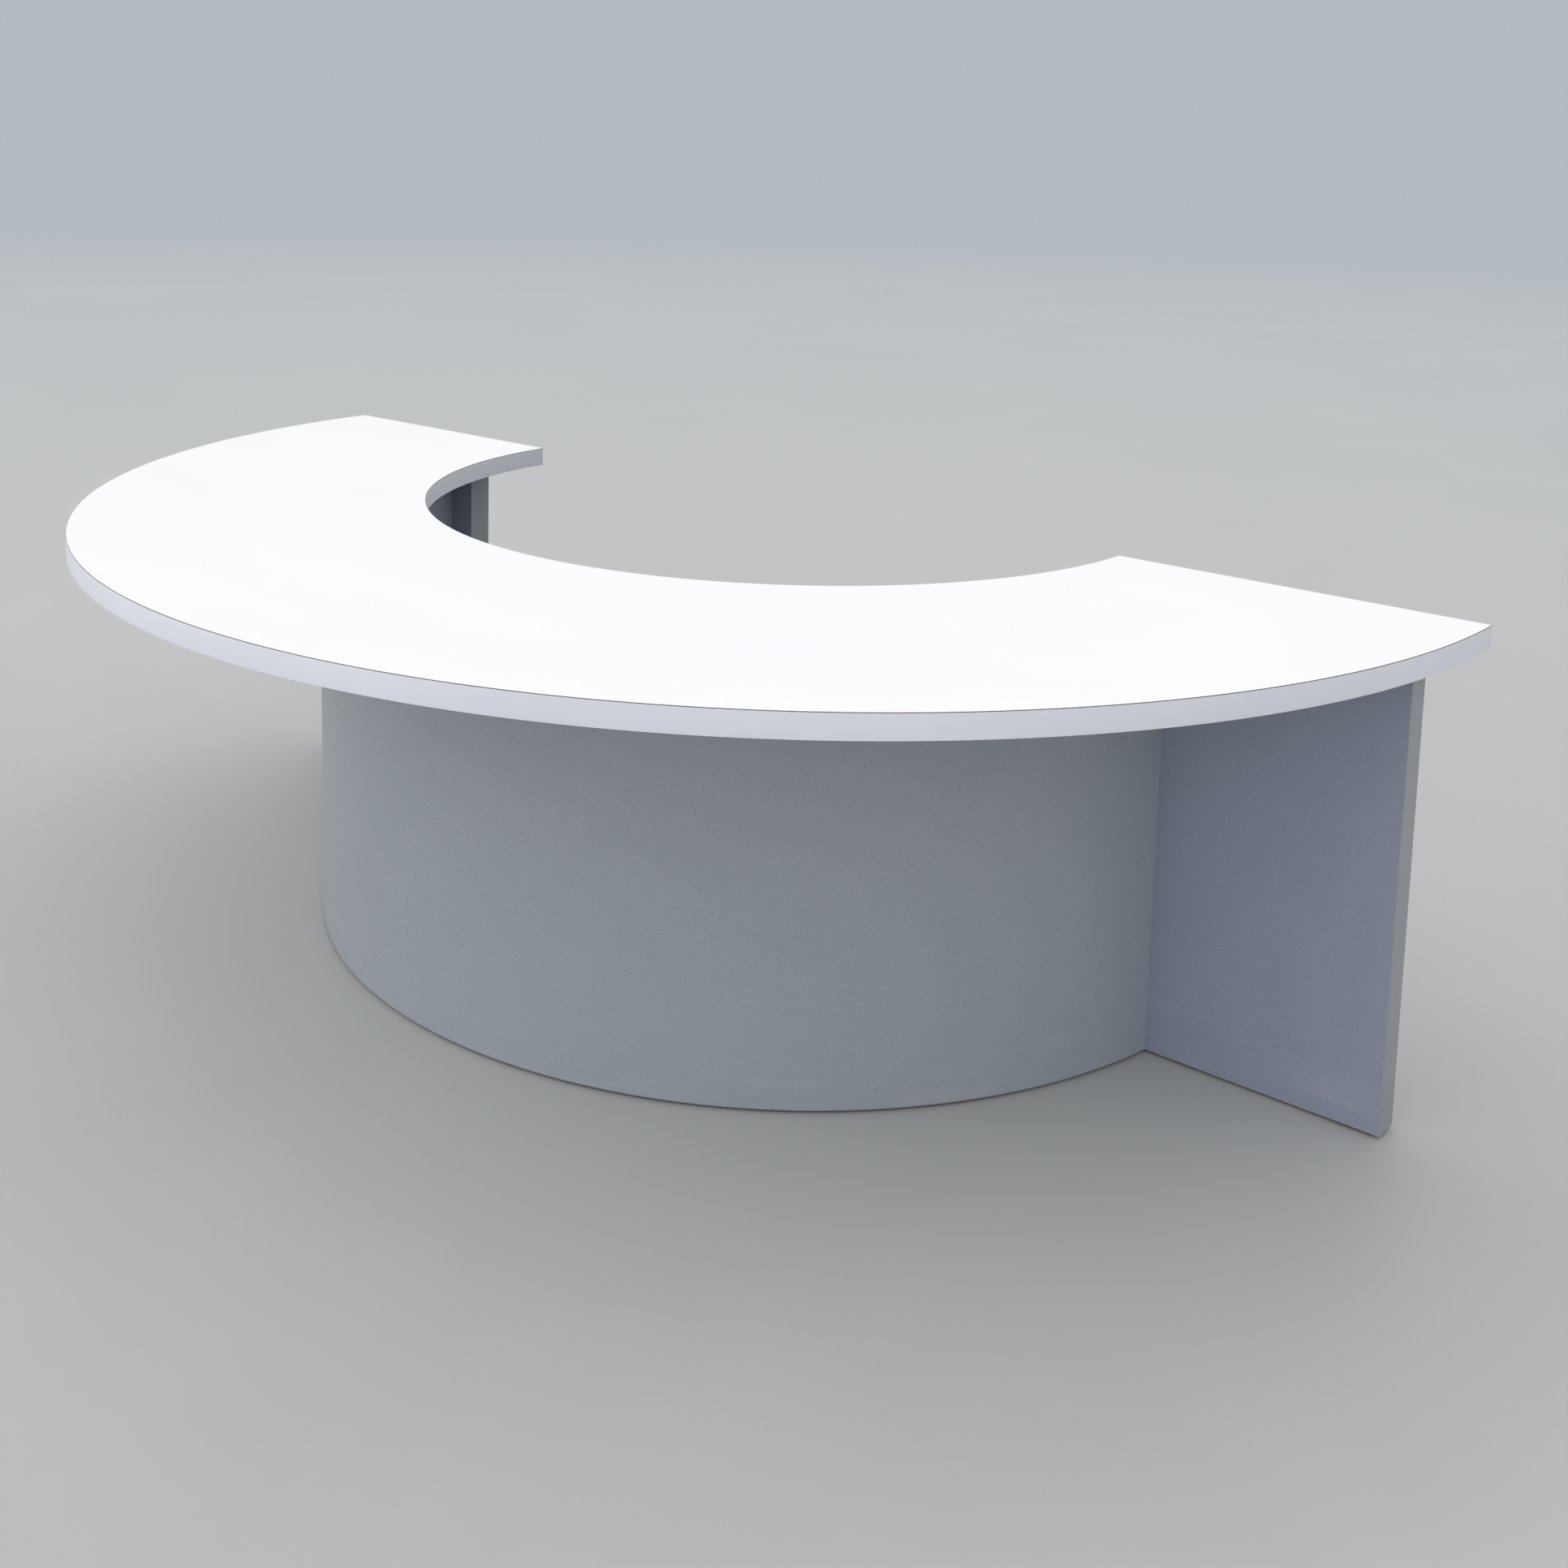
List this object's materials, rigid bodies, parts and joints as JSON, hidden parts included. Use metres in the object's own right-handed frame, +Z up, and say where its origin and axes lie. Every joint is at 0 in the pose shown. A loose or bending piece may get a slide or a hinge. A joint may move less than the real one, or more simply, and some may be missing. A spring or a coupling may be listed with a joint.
{
  "type": "checkout counter",
  "caption": "Half-ring checkout counter: a wide flat worktop with a half-circle staff opening, carried by a curved front panel and flat end panels on levelling feet.",
  "frame": {"origin": "on the floor, at the middle of the box round the counter; the worktop's centre is 610 mm behind it, on +Y", "axes": "+X along the straight back line, to the right of a customer who faces the counter; +Y from the customers' side to the staff's side; +Z up"},
  "size_m": [2.44, 1.22, 0.71],
  "materials": {
    "white_laminate": "white high-pressure laminate, satin, dark core at its cut edge",
    "backing_laminate": "plain balancing laminate, matt",
    "silver_edging": "silver-lilac plastic edging, satin",
    "grey_edging": "warm grey plastic edging, satin",
    "grey_laminate": "blue-grey laminate, satin",
    "fibreboard": "bare medium-density fibreboard",
    "bending_plywood": "bending plywood, cross grain",
    "birch_plywood": "birch plywood, visible layers at the edges",
    "black_nylon": "moulded black nylon",
    "zinc_plated_steel": "bright zinc-plated steel",
    "nickel_plated_steel": "nickel-plated steel",
    "brass_insert": "machined brass"
  },
  "bodies": {
    "counter": {"barrel_nuts": "nickel_plated_steel", "bracket_screws": "zinc_plated_steel", "connector_bolts": "nickel_plated_steel", "end_panel_brackets": "zinc_plated_steel", "front_panel_base_edging": "grey_edging", "front_panel_bottom_rail": "birch_plywood", "front_panel_brackets": "zinc_plated_steel", "front_panel_face_laminate": "grey_laminate", "front_panel_inner_laminate": "grey_laminate", "front_panel_inner_skin": "bending_plywood", "front_panel_left_post": "birch_plywood", "front_panel_lower_studs": "birch_plywood", "front_panel_middle_rail": "birch_plywood", "front_panel_outer_skin": "bending_plywood", "front_panel_right_post": "birch_plywood", "front_panel_top_rail": "birch_plywood", "front_panel_upper_studs": "birch_plywood", "left_end_back_board": "fibreboard", "left_end_back_laminate": "grey_laminate", "left_end_base_edging": "grey_edging", "left_end_front_board": "fibreboard", "left_end_front_laminate": "grey_laminate", "left_end_inner_edging": "grey_edging", "left_end_outer_edging": "grey_edging", "levelling_inserts": "brass_insert", "right_end_back_board": "fibreboard", "right_end_back_laminate": "grey_laminate", "right_end_base_edging": "grey_edging", "right_end_front_board": "fibreboard", "right_end_front_laminate": "grey_laminate", "right_end_inner_edging": "grey_edging", "right_end_outer_edging": "grey_edging", "worktop_backing_laminate": "backing_laminate", "worktop_inner_edging": "silver_edging", "worktop_laminate": "white_laminate", "worktop_left_end_edging": "silver_edging", "worktop_lower_board_left": "fibreboard", "worktop_lower_board_right": "fibreboard", "worktop_outer_edging": "silver_edging", "worktop_right_end_edging": "silver_edging", "worktop_upper_board": "fibreboard"},
    "foot_1": {"foot_1_pad": "black_nylon", "foot_1_stem": "zinc_plated_steel"},
    "foot_2": {"foot_2_pad": "black_nylon", "foot_2_stem": "zinc_plated_steel"},
    "foot_3": {"foot_3_pad": "black_nylon", "foot_3_stem": "zinc_plated_steel"},
    "foot_4": {"foot_4_pad": "black_nylon", "foot_4_stem": "zinc_plated_steel"},
    "foot_5": {"foot_5_pad": "black_nylon", "foot_5_stem": "zinc_plated_steel"},
    "foot_6": {"foot_6_pad": "black_nylon", "foot_6_stem": "zinc_plated_steel"},
    "foot_7": {"foot_7_pad": "black_nylon", "foot_7_stem": "zinc_plated_steel"},
    "foot_8": {"foot_8_pad": "black_nylon", "foot_8_stem": "zinc_plated_steel"}
  },
  "joints": [
    {"name": "foot_1_adjust", "type": "slide", "parent": "counter", "child": "foot_1", "axis": [0, 0, -1], "range_m": [0, 0.012]},
    {"name": "foot_2_adjust", "type": "slide", "parent": "counter", "child": "foot_2", "axis": [0, 0, -1], "range_m": [0, 0.012]},
    {"name": "foot_3_adjust", "type": "slide", "parent": "counter", "child": "foot_3", "axis": [0, 0, -1], "range_m": [0, 0.012]},
    {"name": "foot_4_adjust", "type": "slide", "parent": "counter", "child": "foot_4", "axis": [0, 0, -1], "range_m": [0, 0.012]},
    {"name": "foot_5_adjust", "type": "slide", "parent": "counter", "child": "foot_5", "axis": [0, 0, -1], "range_m": [0, 0.012]},
    {"name": "foot_6_adjust", "type": "slide", "parent": "counter", "child": "foot_6", "axis": [0, 0, -1], "range_m": [0, 0.012]},
    {"name": "foot_7_adjust", "type": "slide", "parent": "counter", "child": "foot_7", "axis": [0, 0, -1], "range_m": [0, 0.012]},
    {"name": "foot_8_adjust", "type": "slide", "parent": "counter", "child": "foot_8", "axis": [0, 0, -1], "range_m": [0, 0.012]}
  ]
}
